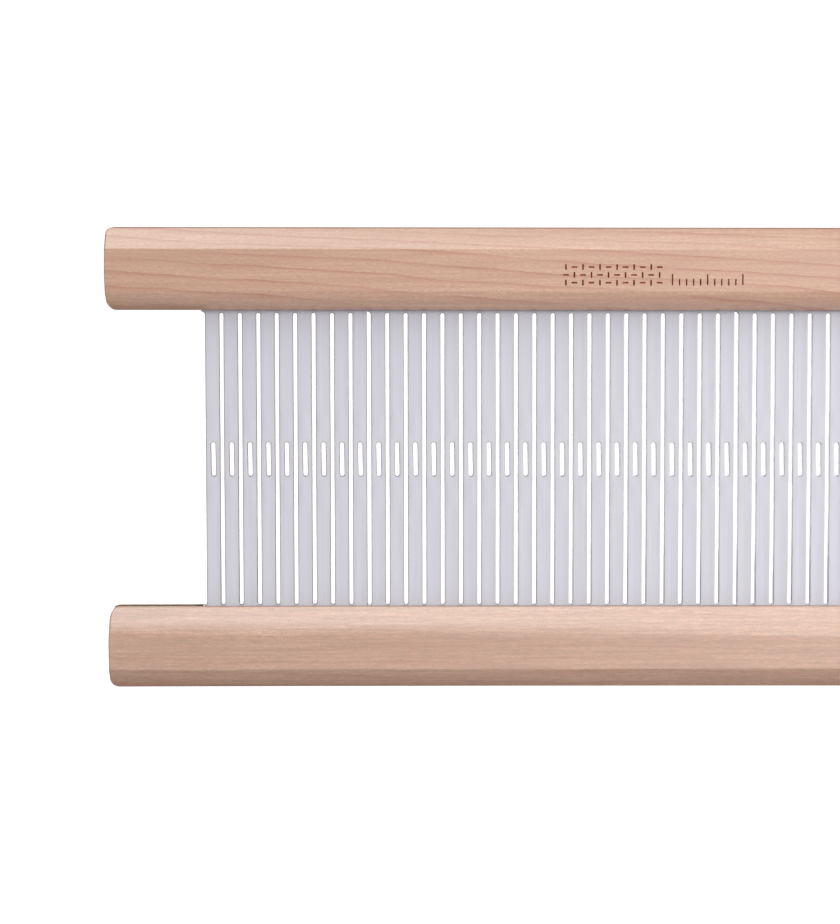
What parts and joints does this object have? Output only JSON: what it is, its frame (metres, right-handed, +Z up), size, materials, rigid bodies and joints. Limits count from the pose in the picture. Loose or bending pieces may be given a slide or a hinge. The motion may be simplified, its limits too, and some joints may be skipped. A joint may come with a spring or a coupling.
{
  "type": "rigid heddle reed",
  "caption": "Rigid heddle reed: two wooden bars with a row of upright nylon dents between them, with open slots and a small oblong eye in each dent.",
  "frame": {"origin": "centre of the underside of the lower bar", "axes": "+X along the bars, towards the right as seen from the marked side; +Y through the thickness, from the marked side to the back; +Z up along the dents, from the lower bar to the upper bar"},
  "size_m": [0.2974, 0.015, 0.125],
  "materials": {
    "wood": "fine-grained pale hardwood, sanded smooth, clear satin",
    "nylon": "moulded white nylon, slightly translucent, satin",
    "glue": "dried wood glue, hidden in the grooves"
  },
  "bodies": {
    "root": {"top_bar": "wood", "bottom_bar": "wood", "reed_section_left": "nylon", "reed_section_middle": "nylon", "reed_section_right": "nylon", "top_glue_line": "glue", "bottom_glue_line": "glue"}
  },
  "joints": []
}
